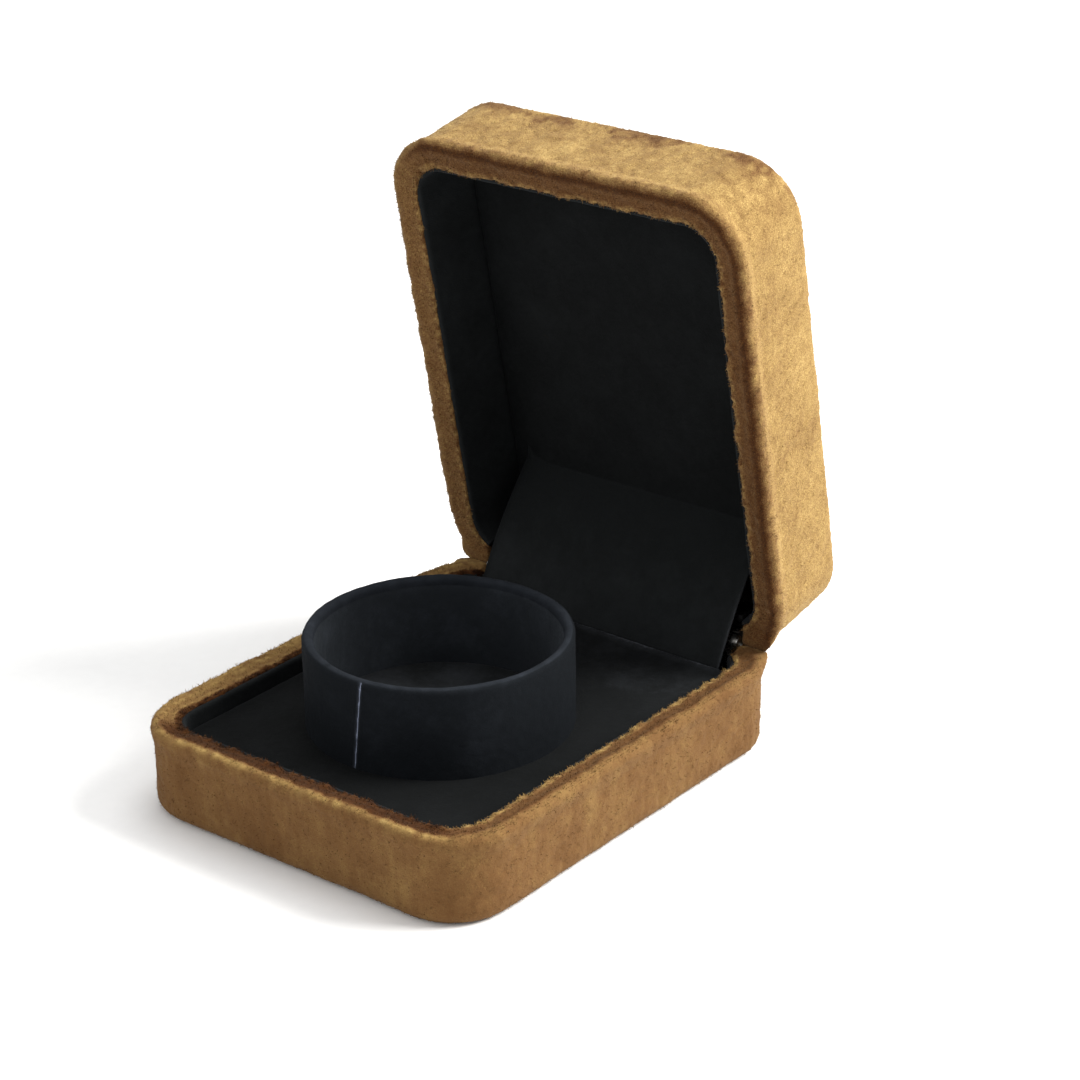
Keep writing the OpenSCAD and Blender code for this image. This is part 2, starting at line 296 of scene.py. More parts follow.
def swept(path, section, filled=True):
    """A section swept round a path and, if filled, a sheet across its last ring."""
    rows, columns = len(section), len(path.line)
    points = path.sweep(section).reshape(-1, 3)
    faces = grid_faces(rows, columns, closed=True)[:, ::-1]
    if filled:
        sheet = path.fill(points[-columns:])
        number = path.fill_indices((rows - 1) * columns, rows * columns)
        points = np.vstack([points, sheet[1:-1, 1:-1].reshape(-1, 3)])
        faces = np.vstack([faces, quads_of(number)])
    return points, faces


def fibres(name, roots, ways, lengths, widths, naps, material, seed):
    """Short bent tapering fibres, each a closed three-sided spike."""
    rng = np.random.default_rng(seed)
    count = len(roots)
    ways = ways + rng.normal(0, 0.32, (count, 3))
    ways /= np.linalg.norm(ways, axis=1, keepdims=True)
    side = np.cross(ways, rng.normal(size=(count, 3)))
    side /= np.linalg.norm(side, axis=1, keepdims=True)
    other = np.cross(ways, side)
    bend = rng.normal(0, 0.3, (count, 3)) * lengths[:, None]
    rings = []
    for share, width in ((-0.25, 1.0), (0.55, 0.75)):
        middle = roots + ways * (lengths * share)[:, None] + bend * max(share, 0) ** 2
        for k in range(3):
            a = 2 * math.pi * k / 3
            out = math.cos(a) * side + math.sin(a) * other
            rings.append(middle + out * (widths * width / 2)[:, None])
    rings.append(roots + ways * lengths[:, None] + bend)
    points = np.stack(rings, 1).reshape(-1, 3)
    first = (np.arange(count) * 7)[:, None]
    quads = np.vstack([first + [k, (k + 1) % 3, (k + 1) % 3 + 3, k + 3] for k in range(3)])
    tips = np.vstack([first + [3 + k, 3 + (k + 1) % 3, 6] for k in range(3)]
                     + [first + [2, 1, 0]])
    return make(name, points, [*quads, *tips], material, np.repeat(naps, 7))


# ------------------------ materials


class Nodes:
    """A small helper that adds shader nodes and links them."""

    def __init__(self, name):
        self.material = bpy.data.materials.new(name)
        self.material.use_nodes = True
        self.tree = self.material.node_tree
        self.shader = self.tree.nodes["Principled BSDF"]

    def add(self, kind, links=None, **settings):
        node = self.tree.nodes.new("ShaderNode" + kind)
        for key, value in settings.items():
            if key.startswith("in_"):
                node.inputs[key[3:].replace("_", " ")].default_value = value
            else:
                setattr(node, key, value)
        for socket, source in (links or {}).items():
            self.tree.links.new(source, node.inputs[socket])
        return node

    def link(self, source, socket):
        self.tree.links.new(source, self.shader.inputs[socket])

    def set(self, **values):
        for key, value in values.items():
            self.shader.inputs[key.replace("_", " ")].default_value = value

    def where(self, stretch=(1, 1, 1), turn=(0, 0, 0)):
        place = self.add("TexCoord").outputs["Object"]
        mapping = self.add("Mapping", {"Vector": place}, in_Scale=stretch, in_Rotation=turn)
        return mapping.outputs["Vector"]

    def clouds(self, size, detail=3, rough=0.55, distort=0.0, where=None):
        """Noise from 0 to 1 with features about size across."""
        links = {"Vector": where or self.where()}
        node = self.add("TexNoise", links, in_Scale=1 / size, in_Detail=detail,
                        in_Roughness=rough, in_Distortion=distort)
        return node.outputs["Fac"]

    def remap(self, value, low, high, out_low, out_high, clamp=True):
        node = self.add("MapRange", {"Value": value}, in_From_Min=low, in_From_Max=high,
                        in_To_Min=out_low, in_To_Max=out_high, clamp=clamp)
        return node.outputs["Result"]

    def maths(self, operation, a, b):
        node = self.add("Math", operation=operation)
        for i, value in enumerate((a, b)):
            if isinstance(value, (int, float)):
                node.inputs[i].default_value = value
            else:
                self.tree.links.new(value, node.inputs[i])
        return node.outputs[0]

    def ramp(self, value, stops):
        node = self.add("ValToRGB", {"Fac": value})
        marks = node.color_ramp.elements
        while len(marks) < len(stops):
            marks.new(0.5)
        for mark, (place, colour) in zip(marks, stops):
            mark.position, mark.color = place, (*colour, 1)
        return node.outputs["Color"]

    def bump(self, height, distance, strength=1.0, under=None):
        links = {"Height": height}
        if under is not None:
            links["Normal"] = under
        node = self.add("Bump", links, in_Strength=strength, in_Distance=distance)
        return node.outputs["Normal"]


def velvet(name, stops, sheen, sheen_tint, blotch, grain, shine=0.08):
    """Crushed velvet: its nap attribute, blotches and grain pick a colour between the stops."""
    n = Nodes(name)
    # the nap attribute carries the pile's own lighter and darker lie together with painted
    # highlight, painted shade and painted light, set piece by piece below
    nap = n.add("Attribute", attribute_name="nap").outputs["Fac"]
    large = n.clouds(6 * MM, 4, 0.6, 0.6)
    strokes = n.clouds(1.8 * MM, 4, 0.65, 0.4)
    speckle = n.clouds(0.27 * MM, 2, 0.75)
    value = nap
    for cloud, share in ((large, blotch), (strokes, blotch), (speckle, grain)):
        value = n.maths("ADD", value, n.maths("MULTIPLY", n.maths("SUBTRACT", cloud, 0.5), share))
    n.link(n.ramp(value, stops), "Base Color")
    n.link(n.remap(speckle, 0.3, 0.7, 0.78, 0.95), "Roughness")
    rough = n.bump(strokes, 0.25 * MM, 0.5)
    n.link(n.bump(speckle, 0.16 * MM, 0.7, rough), "Normal")
    n.set(Sheen_Weight=sheen, Sheen_Roughness=0.45, Sheen_Tint=(*sheen_tint, 1),
          Specular_IOR_Level=shine)
    return n.material


GOLD_STOPS = [(0.0, (0.016, 0.005, 0.002)), (0.25, (0.062, 0.0215, 0.0050)),
              (0.5, (0.146, 0.0735, 0.0265)), (0.75, (0.278, 0.175, 0.060)),
              (1.0, (0.50, 0.345, 0.132))]
BLACK_STOPS = [(0.0, (0.0012, 0.0014, 0.0015)), (0.5, (0.0030, 0.0034, 0.0035)),
               (0.75, (0.0075, 0.0083, 0.0088)), (0.9, (0.022, 0.024, 0.027)),
              (1.0, (0.12, 0.13, 0.15))]
GOLD = velvet("gold_velvet", GOLD_STOPS, 0.06, (1.0, 0.80, 0.52), 0.12, 0.30)
GOLD_LID = velvet("gold_velvet_lid", GOLD_STOPS, 0.13, (1.0, 0.80, 0.52), 0.16, 0.95)


def black(name, gain, tint=(1, 1, 1), sheen=0.012, shine=0.08):
    stops = [(place, tuple(gain * c * t for c, t in zip(colour, tint)))
             for place, colour in BLACK_STOPS]
    return velvet(name, stops, sheen * gain, (0.8, 0.9, 1.0), 0.14, 0.14, shine)


# the pad, the linings, the tube, the tube's inside and the hinge strip are lighter copies of the
# one black velvet by their gain: painted light, strongest inside the tube
BLACK = black("black_velvet", 1.0)
BLACK_PAD = black("black_velvet_pad", 1.25)
BLACK_LINING = black("black_velvet_lining", 2.1)
BLACK_TUBE = black("black_velvet_tube", 2.6, (1.0, 1.04, 1.22), 0.004, 0.03)
BLACK_INSIDE = black("black_velvet_inside", 5.2, (1.0, 1.03, 1.2))
STRIP_CLOTH = black("black_strip_cloth", 2.5)


def weave_cloth(name, dark, light, thread):
    """Plain woven or felted cloth."""
    n = Nodes(name)
    where = n.where()
    waves = [n.add("TexWave", {"Vector": where}, bands_direction=d, in_Scale=0.5 / thread,
                   in_Distortion=1.2, in_Detail=1.0).outputs["Fac"] for d in "XY"]
    weave = n.maths("MULTIPLY", *waves)
    dust = n.clouds(1.5 * MM, 4)
    value = n.maths("ADD", n.maths("MULTIPLY", weave, 0.5), n.maths("MULTIPLY", dust, 0.5))
    n.link(n.ramp(value, [(0.1, dark), (0.8, light)]), "Base Color")
    n.link(n.remap(dust, 0.2, 0.8, 0.8, 0.97), "Roughness")
    n.link(n.bump(weave, 0.12 * MM, 0.6), "Normal")
    n.set(Sheen_Weight=0.1, Specular_IOR_Level=0.2)
    return n.material


def steel(name, dark, light, rough):
    """Plated, stamped steel with fine draw lines and a little tarnish."""
    n = Nodes(name)
    lines = n.clouds(0.25 * MM, 3, 0.6, 0.0, n.where((0.08, 1, 1)))
    tarnish = n.clouds(2.5 * MM, 4, 0.6, 0.5)
    n.link(n.ramp(tarnish, [(0.3, dark), (0.7, light)]), "Base Color")
    n.link(n.remap(n.maths("ADD", lines, tarnish), 0.6, 1.4, rough, rough + 0.22), "Roughness")
    n.link(n.bump(lines, 0.01 * MM, 0.5), "Normal")
    n.set(Metallic=1.0)
    return n.material


def speckled(name, dark, light, size, depth, rough=(0.6, 0.85)):
    """Matt moulded plastic, board or foam: cloudy colour with a grain of this size."""
    n = Nodes(name)
    grain = n.clouds(size, 4, 0.65)
    cloud = n.clouds(size * 14, 3)
    value = n.maths("ADD", n.maths("MULTIPLY", grain, 0.6), n.maths("MULTIPLY", cloud, 0.4))
    n.link(n.ramp(value, [(0.25, dark), (0.75, light)]), "Base Color")
    n.link(n.remap(grain, 0.3, 0.7, *rough), "Roughness")
    n.link(n.bump(grain, depth, 0.7), "Normal")
    return n.material


STEEL = steel("hinge_steel", (0.20, 0.195, 0.18), (0.42, 0.41, 0.385), 0.17)
SCREW_STEEL = steel("blackened_steel", (0.03, 0.03, 0.032), (0.07, 0.07, 0.075), 0.35)
SPRING_STEEL = steel("spring_steel", (0.34, 0.36, 0.40), (0.56, 0.58, 0.62), 0.16)
PLASTIC = speckled("shell_plastic", (0.020, 0.018, 0.016), (0.040, 0.036, 0.032),
                   0.5 * MM, 0.05 * MM, (0.45, 0.65))
BOARD = speckled("grey_board", (0.20, 0.16, 0.11), (0.36, 0.30, 0.22), 0.6 * MM, 0.06 * MM)
FOAM = speckled("grey_foam", (0.03, 0.03, 0.032), (0.10, 0.10, 0.105), 0.35 * MM, 0.2 * MM,
                (0.85, 1.0))
UNDERSIDE = weave_cloth("underside_cloth", (0.030, 0.018, 0.010), (0.085, 0.055, 0.030),
                        0.45 * MM)

# ------------------------ gold covers

COVER_PATH = RoundPath(0.5 * MM, HALF_X, -HALF_Y, HALF_Y, CORNER, CORNER)


def lid_place(points):
    """From a half drawn open side up to the open lid."""
    points = np.array(points, float)
    points[..., 2] = LID_TOP - points[..., 2]
    return turned(points, -OPEN)


def lid_turn(ways):
    """The same for directions."""
    return rotated(ways * [1, 1, -1], -OPEN)


def rim_section(half):
    """Section of the cover: up the turned-in edge, over the soft rim, down and under."""
    bottom = 0.2 * MM if half.under > 0 else 0.0
    bead = half.bead
    rise = [(0, -6.5), (0, -1.7), (-0.55, -1.15), (-0.45, -0.7), (1.1, -0.6), (2.6, -0.35),
            (3.9, 0.1), (bead - 0.9, -0.2), (bead - 0.15, -0.95), (bead, -1.9),
            (bead - 0.3, -3.2), (5.35, -4.7), (5.40, -7)]
    points = [(LIP + u * MM, half.height + z * MM) for u, z in rise]
    side = CORNER - half.draft
    points += rounded((side - half.edge, half.edge), (half.edge, -half.edge), math.pi / 2, 8)
    points = [(u, max(z, bottom)) for u, z in points]
    points.append((half.under if half.under > 0 else side - half.edge - 1 * MM, bottom))
    return resampled(points, 0.5 * MM, 0.28 * MM)


def cut_rear(points, height):
    """The bevelled rear edge and the room round the hinges, with half the box open side up."""
    y = points[:, 1] - HINGE[1]
    z = points[:, 2] - (height + GAP / 2)
    # the cloths of the two halves meet at the rear corners
    apart = GAP / 2 * step_between(HINGE_END + 2.2 * MM, HINGE_END + 1.4 * MM, np.abs(points[:, 0]))
    over = y * math.sin(BEVEL) + z * math.cos(BEVEL) + apart
    drop = np.where((over > 0) & (y > -1 * MM), over / math.cos(BEVEL), 0)
    z = z - drop
    x = np.abs(points[:, 0])
    beside = step_between(HINGE_END + 1.1 * MM, HINGE_END + 0.8 * MM, x)
    beside *= step_between(HINGE_END - HINGE_LEN - 1.1 * MM, HINGE_END - HINGE_LEN - 0.8 * MM, x)
    near = (beside > 0) & (y > -10 * MM)
    inner = near & (y < -1.6 * MM) & (z > -9.4 * MM)
    y = np.where(inner, y + (-1.45 * MM - y) * beside, y)
    top = near & (y <= 0) & (z > -POCKET_R)
    z = np.where(top, z + (-POCKET_R - 0.03 * MM - z) * beside, z)
    round_pin = near & (y > 0) & (np.hypot(y, z) < POCKET_R)
    floor = -np.sqrt(np.maximum(POCKET_R**2 - y**2, 0))
    z = np.where(round_pin, z + (floor - z) * beside, z)
    return np.stack([points[:, 0], y + HINGE[1], z + height + GAP / 2], 1)


def cover_mesh(half):
    """The cloth's points and faces, and each point's place in the section and outward way."""
    section, ways = rim_section(half), COVER_PATH.ways
    points, faces = swept(COVER_PATH, section - [CORNER, 0], filled=half.under == 0)
    across = len(points) - len(section) * len(ways)
    u = np.r_[np.repeat(section[:, 0], len(ways)), np.zeros(across)]
    side = np.r_[np.tile(ways, (len(section), 1)), np.zeros((across, 2))]
    return points, faces[:, ::-1], u, side


def rim_marks(half, points, u):
    """How far each point belongs to each part of the rim, from 0 to 1."""
    z, height = points[:, 2], half.height
    wander = 0.45 * MM * layered(points, 6 * MM, half.seed + 40)
    wander = wander + 0.25 * MM * noise(points, 1.2 * MM, half.seed + 44)
    upper = step_between(height - 3.0 * MM, height - 1.8 * MM, z)
    inside = step_between(0.7 * MM, 0, u - LIP - half.line_at * MM + wander) * upper

    # the cloth is gathered at the rear corners, beside the hinges
    out = np.clip((np.abs(points[:, :2]) - [HALF_X - CORNER, HALF_Y - CORNER]) / CORNER, 0, 1)
    near_rim = step_between(height - 6 * MM, height - 1.5 * MM, z)
    rear = near_rim * step_between(LIP, CORNER, u) * (points[:, 1] > 0) * (out[:, 0] > 0)
    gather = rear * step_between(0.45, 0.78, out[:, 1])

    def stripe(middle, width, wobble=1.0):
        return np.exp(-((u + wobble * wander - middle) / width) ** 2) * upper

    # drop marks the cloth turned down inside the lip, which rim_nap darkens as painted shade
    drop = step_between(height - 0.9 * MM, height - 2.2 * MM, z + wander)
    return SimpleNamespace(
        upper=upper, inside=inside, gather=gather, corner=rear * (out[:, 1] > 0),
        crest=stripe(LIP + half.crest_at * MM, 0.8 * MM),
        line=stripe(LIP + (half.line_at + 0.9 * gather) * MM, half.line_width * MM, 1.3),
        groove=stripe(LIP + 2.0 * MM, 0.7 * MM),
        frayed=upper * step_between(LIP + 1.2 * MM, LIP + 0.3 * MM, u + wander),
        drop=drop * (u < LIP + 0.5 * MM) * (u > 0))


def wall_nap(half, points, normals):
    """The crushed pile of the walls: blotches, upright streaks and a mottled front."""
    seed = half.seed
    tall = points * [1, 1, half.streaks]
    nap = half.shade + 0.07 * layered(points, 11 * MM, seed + 50, 3)
    nap = nap + 0.05 * layered(points, 4 * MM, seed + 53)
    nap = nap + 0.03 * noise(tall, 1.1 * MM, seed + 55)
    nap = nap + 0.03 * noise(tall, 2.6 * MM, seed + 58)
    front = step_between(0.2, 0.8, -normals[:, 1])
    mottled = 0.24 * noise(points, 1.0 * MM, seed + 63)
    mottled = mottled + 0.12 * layered(points, 3 * MM, seed + 64)
    nap = nap + half.patchy * front * mottled
    worn = layered(points * [0.6, 1, 1], 5 * MM, seed + 60)
    worn = step_between(-0.25, 0.5, worn + 0.4 * noise(points, 1.6 * MM, seed + 62))
    far = step_between(11 * MM, 2 * MM, points[:, 2]) * front * worn
    return nap - half.patchy * far * (0.75 + 0.25 * noise(points, 1.3 * MM, seed + 61))


def rim_nap(half, points, side, marks, nap):
    """The wall's nap with the rim's slope, crest, lines and frayed edge drawn over it; the darker
    slope, line and groove are painted shade, and the lighter crest and left slope are painted
    light.
    """
    right = step_between(0.2, 0.8, side[:, 0])
    slope, crest, line, groove, frayed = (
        a + (b - a) * right for a, b in zip(half.front_naps, half.right_naps))
    # the rim's dark line is painted fold shade; it is drawn on the front and right sides and fades
    # out towards the left and rear
    front_and_right = step_between(-0.5, 0.5, side[:, 0] - 0.7 * side[:, 1])
    # painted glints speckled over the left slope
    tufts = half.left_tufts * noise(points, 0.8 * MM, half.seed + 66)
    slope = slope + (half.left_slope + tufts - slope) * (1 - front_and_right)
    groove = groove + (half.left_groove - groove) * (1 - front_and_right)
    nap = nap + (slope - nap) * marks.inside
    broken = np.clip(0.6 + 0.55 * noise(points, 1.7 * MM, half.seed + 56), 0, 1)
    # the crest is drawn lighter as a painted highlight
    nap = nap + (crest - nap) * marks.crest * broken
    nap = nap + (line - nap) * marks.line * 0.92 * front_and_right
    # the groove is drawn darker as painted shade in the rim's valley, less so on the left
    nap = nap + (groove - nap) * marks.groove
    frayed = frayed + 0.22 * noise(points, 0.8 * MM, half.seed + 57)
    nap = nap + (frayed - nap) * marks.frayed
    # the cloth turned down inside the lip is darkened as painted shade
    return nap * (1 - 0.9 * marks.drop)


def cover_lift(half, points, marks):
    """How far the soft cloth stands proud of its section."""
    seed = half.seed
    swell = 0.16 * layered(points, 9 * MM, seed, 2) + 0.10 * noise(points, 2.4 * MM, seed + 10)
    rough = 0.09 * noise(points, 1.0 * MM, seed + 20) + 0.05 * RNG.normal(size=len(points))
    wavy = 0.22 * noise(points, 3.5 * MM, seed + 30) + 0.12 * noise(points, 1.1 * MM, seed + 33)
    lift = (swell + rough + marks.upper * wavy) * MM
    lift = np.where(points[:, 2] < 1.0 * MM, np.minimum(lift, 0.05 * MM), lift)
    ragged = 0.28 * noise(points, 1.9 * MM, seed + 36) + 0.22 * noise(points, 0.8 * MM, seed + 37)
    return lift + marks.frayed * ragged * MM


def shaped(half, points, normals, marks):
    """The points lifted, gathered at the rear corners and cut to clear the other half."""
    lift = cover_lift(half, points, marks)
    points = points + normals * (lift - half.tuck * MM * marks.corner)[:, None]
    points[:, 0] += np.sign(points[:, 0]) * half.spread * MM * marks.gather
    raised = points[:, 2] + half.rise * MM * marks.gather
    before = np.minimum(raised, np.maximum(points[:, 2], half.height + 0.05 * MM))
    points[:, 2] = np.where(points[:, 1] < HINGE[1], before, raised)
    points = cut_rear(points, half.height)
    points[:, 2] = np.minimum(points[:, 2], half.height + 0.17 * MM)
    return points


def pile_roots(half, points, normals, u, z, nap, marks):
    """Sparse short fibres everywhere, longer ones along the rim's edges."""
    rng = np.random.default_rng(half.seed + 70)
    weight = 0.3 + 1.6 * marks.crest + 1.5 * marks.frayed + 0.6 * marks.inside
    turned_in = (z < half.height - 3 * MM) & (u < LIP + 0.5 * MM) & (u > 0)
    weight = np.where(turned_in, 0, weight)
    weight = np.where((z < 0.6 * MM) & (half.under > 0), 0, weight)
    behind = (points[:, 1] > HINGE[1] - 3 * MM) & (z > half.height - 5 * MM)
    weight = np.where(behind, weight * 0.15, weight)
    pick = rng.choice(len(points), half.fibres, p=weight / weight.sum())
    spread = rng.normal(0, 0.15 * MM, (half.fibres, 3)) * (1 - np.abs(normals[pick]))
    long = 0.32 + 0.12 * marks.crest[pick] + 0.02 * marks.frayed[pick]
    long = long + 0.04 * marks.inside[pick]
    lengths = long * MM * rng.uniform(0.6, 1.35, half.fibres)
    widths = rng.uniform(0.08, 0.17, half.fibres) * MM
    ways = normals[pick] + np.array([0, 0, 0.35]) * (1 - 0.8 * marks.frayed[pick, None])
    naps = nap[pick] + rng.normal(0.05, 0.08, half.fibres)
    return points[pick] + spread, ways, lengths, widths, naps


def cover(half):
    """One half's velvet and its pile."""
    points, faces, u, side = cover_mesh(half)
    normals = normals_of(points, faces)
    z = points[:, 2]
    marks = rim_marks(half, points, u)
    nap = rim_nap(half, points, side, marks, wall_nap(half, points, normals))
    points = shaped(half, points, normals, marks)
    normals = normals_of(points, faces)
    roots, ways, *looks = pile_roots(half, points, normals, u, z, nap, marks)
    if half.body == "lid":
        points, roots, ways = lid_place(points), lid_place(roots), lid_turn(ways)
    else:
        points[:, 2] = np.maximum(points[:, 2], 0.05 * MM)
    piece = make(half.name, points, faces, half.cloth, nap, flip=half.body == "lid")
    pile = fibres(half.name + "_pile", roots, ways, *looks, half.cloth, half.seed + 80)
    for each in (piece, pile):
        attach(each, half.body)
    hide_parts(half.node)


UNDER = CORNER - 9 * MM

# What a half holds:
# under: where the cloth ends underneath, 0 where it runs on across the outside
# bead: from the lip to the widest part of the rim, in mm
# draft, edge: how far the wall leans in, and the radius at its foot
# shade, patchy: the walls' nap, lighter on the lid partly as painted light, and how mottled the
# front wall is
# streaks: scale of the walls' fine marks along Z, where less than 1 draws them upright
# front_naps, right_naps: slope, crest, line, groove and frayed edge of the rim; the darker slope,
# line and groove are painted shade, the lighter crest a painted highlight
# left_slope, left_groove, left_tufts: the same slope and groove at the left, the slope drawn
# lighter there as painted light, and the painted glints speckled over it
# crest_at, line_at, line_width: the rim's crest and its dark line of painted fold shade, in mm from
# the lip
# tuck, spread, rise: how far the gathered rear corners go in, out along X and up, in mm
cover(SimpleNamespace(
    name="base_cover", node="base_velvet", body="base", cloth=GOLD, fibres=15500, seed=100,
    height=BASE_H, under=UNDER, bead=6.0, draft=0.4 * MM, edge=2.6 * MM,
    shade=0.49, streaks=0.3, patchy=0.0,
    front_naps=(0.20, 0.86, 0.15, 0.10, 0.13), right_naps=(0.36, 0.60, 0.30, 0.36, 0.66),
    left_slope=0.67, left_groove=0.56, left_tufts=0.22,
    crest_at=4.7, line_at=3.3, line_width=0.6, tuck=0.1, spread=1.2, rise=1.5))
cover(SimpleNamespace(
    name="lid_cover", node="lid_velvet", body="lid", cloth=GOLD_LID, fibres=19000, seed=200,
    height=LID_H, under=0, bead=6.1, draft=0.25 * MM, edge=2.8 * MM,
    shade=0.72, streaks=1.0, patchy=0.42,
    front_naps=(0.345, 0.50, 0.14, 0.33, 0.50), right_naps=(0.345, 0.50, 0.14, 0.33, 0.50),
    left_slope=0.48, left_groove=0.46, left_tufts=0.05,
    crest_at=5.6, line_at=4.6, line_width=0.85, tuck=0.35, spread=1.3, rise=2.0))

# ------------------------ black linings

LINING_PATH = RoundPath(0.6 * MM, HALF_X, -HALF_Y, HALF_Y, CORNER, CORNER)


def lining(name, node, body, low, high, seed, place=None):
    """A velvet-covered strip round three sides and the rear corners of one half."""
    path = LINING_PATH
    x, y = (path.line - (CORNER - LIP) * path.ways).T
    behind = (y > HALF_Y / 2) & (np.abs(x) < HINGE_END + 1.2 * MM)
    start = np.flatnonzero(behind & ~np.roll(behind, -1))[0] + 1
    keep = (start + np.arange((~behind).sum())) % len(x)
    thick = LIP - U_LINING
    top = high - thick / 2
    over = rounded((LIP - thick / 2, top), (thick / 2, thick / 2), math.pi, 6)
    loop = [(LIP - 0.02 * MM, low), (LIP - 0.02 * MM, top), *over[1:-1],
            (U_LINING, top), (U_LINING, low)]
    section = resampled(loop, 0.55 * MM, 0.12 * MM)
    rows, columns = len(section), len(keep)
    points = path.sweep(section - [CORNER, 0], keep).reshape(-1, 3)
    faces = grid_faces(rows, columns)[:, ::-1]
    normals = normals_of(points, faces)
    u, z = np.repeat(section[:, 0], columns), points[:, 2]
    top_edge = step_between(high - 0.9 * MM, high - 0.2 * MM, z)
    lift = 0.10 * layered(points, 7 * MM, seed) + 0.06 * noise(points, 1.3 * MM, seed + 5)
    free = np.maximum(step_between(LIP, U_LINING + 0.3 * MM, u), top_edge)
    points = points + normals * (lift * MM * free)[:, None]
    # the top edge drawn a little lighter is a painted highlight
    nap = 0.56 + 0.02 * top_edge + 0.06 * layered(points, 8 * MM, seed + 9)
    if place:
        points = place(points)
    number = np.arange(rows * columns).reshape(rows, columns)
    ends = [number[:, 0], number[::-1, -1]]
    foot = [(number[0, c], number[-1, c], number[-1, c + 1], number[0, c + 1])
            for c in range(columns - 1)]
    piece = make(name, points, [*faces, *foot, *ends], BLACK_LINING, nap, flip=place is not None)
    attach(piece, body)
    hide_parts(node)
    return piece


lining("base_lining", "base_side_lining", "base", PLATFORM[1][2] - 3 * MM, LINING_TOP, 300)
lining("lid_lining", "lid_side_lining", "lid", LID_TOP - PAD[1][2],
       LID_TOP - LID_LINING[0][2], 320, lid_place)

# ------------------------ platform


def panel(name, path, section, material, body, nap, seed, place=None, swell=0.12,
          crown=0.0, light=0.0, bead=0.0, flip=False, tone=None):
    """A board covered with cloth that is a little uneven, crowned, and lighter at its edge and rear
    bead as a painted highlight.
    """
    points, faces = swept(path, section)
    normals = normals_of(points, faces)
    columns = len(path.line)
    across = len(points) - len(section) * columns
    top = section[-1, 1]
    inner = np.r_[np.repeat(step_between(0, -6 * MM, section[:, 0]), columns), np.ones(across)]
    edge = np.clip((path.half - np.abs(points[:, :2] - path.middle)) / path.half, 0, 1)
    dome = np.sqrt(np.prod(edge, axis=1)) * inner
    lift = swell * layered(points, 10 * MM, seed) + 0.05 * noise(points, 1.4 * MM, seed + 5)
    from_rear = path.middle[1] + path.half[1] - points[:, 1]
    ridge = np.exp(-((from_rear - 0.9 * MM) / (1.1 * MM)) ** 2) * (normals[:, 2] > 0.4) * bead
    points = points + normals * ((lift + crown * dome + 0.55 * ridge) * MM)[:, None]
    border = np.exp(-((points[:, 2] - top) / (0.5 * MM)) ** 2)
    near_edge = np.exp(-((section[:, 0] + 0.7 * MM) / (0.7 * MM)) ** 2)
    border *= np.r_[np.repeat(near_edge, columns), np.zeros(across)]
    # light * border is a painted highlight along the board's rounded top edge
    naps = nap + 0.12 * layered(points, 12 * MM, seed + 9) + light * border
    # a painted highlight on the raised rear bead
    naps += 0.10 * ridge * (0.8 + 0.4 * noise(points, 3 * MM, seed + 12))
    if tone:
        naps += tone(points)
    if place:
        points = place(points)
    piece = make(name, points, faces, material, naps, flip=flip)
    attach(piece, body)
    return piece


def board_path(spacing, low, high, front_radius, rear_radius):
    path = RoundPath(spacing, high[0], low[1], high[1], front_radius, rear_radius)
    path.half = np.array([high[0], (high[1] - low[1]) / 2])
    path.middle = np.array([0, (high[1] + low[1]) / 2])
    return path


def edge_section(low, top, radius, spacing):
    """A board's edge seen in section: up the side and over a rounded edge."""
    over = rounded((-radius, top - radius), (radius, radius), math.pi / 2, 6)
    return resampled([(0, low), *over, (-4 * radius, top)], spacing, 0.1 * MM)


def platform_painted_light(points):
    """Painted light behind the bangle holder and inside it, lifting the shade there."""
    behind = step_between(TUBE_Y - 2 * MM, PLATFORM[1][1] - 10 * MM, points[:, 1])
    from_axis = np.hypot(points[:, 0], points[:, 1] - TUBE_Y)
    within = step_between(TUBE_R, TUBE_R - 1 * MM, from_axis)
    return 0.26 * behind * (1 - within) + 0.32 * within


platform = panel("platform", board_path(0.7 * MM, *PLATFORM, U_PLATFORM, 4.6 * MM),
                 edge_section(PLATFORM[0][2], PLATFORM[1][2], 0.9 * MM, 0.5 * MM),
                 BLACK, "base", 0.52, 340, crown=0.2, light=0.16, bead=1.0,
                 tone=platform_painted_light)
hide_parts("insert_velvet")

# ------------------------ bangle holder

# where the sleeve's seam is round the tube, from +X towards +Y, and how far it slants
SEAM = math.radians(274)
SEAM_SLANT = 0.11


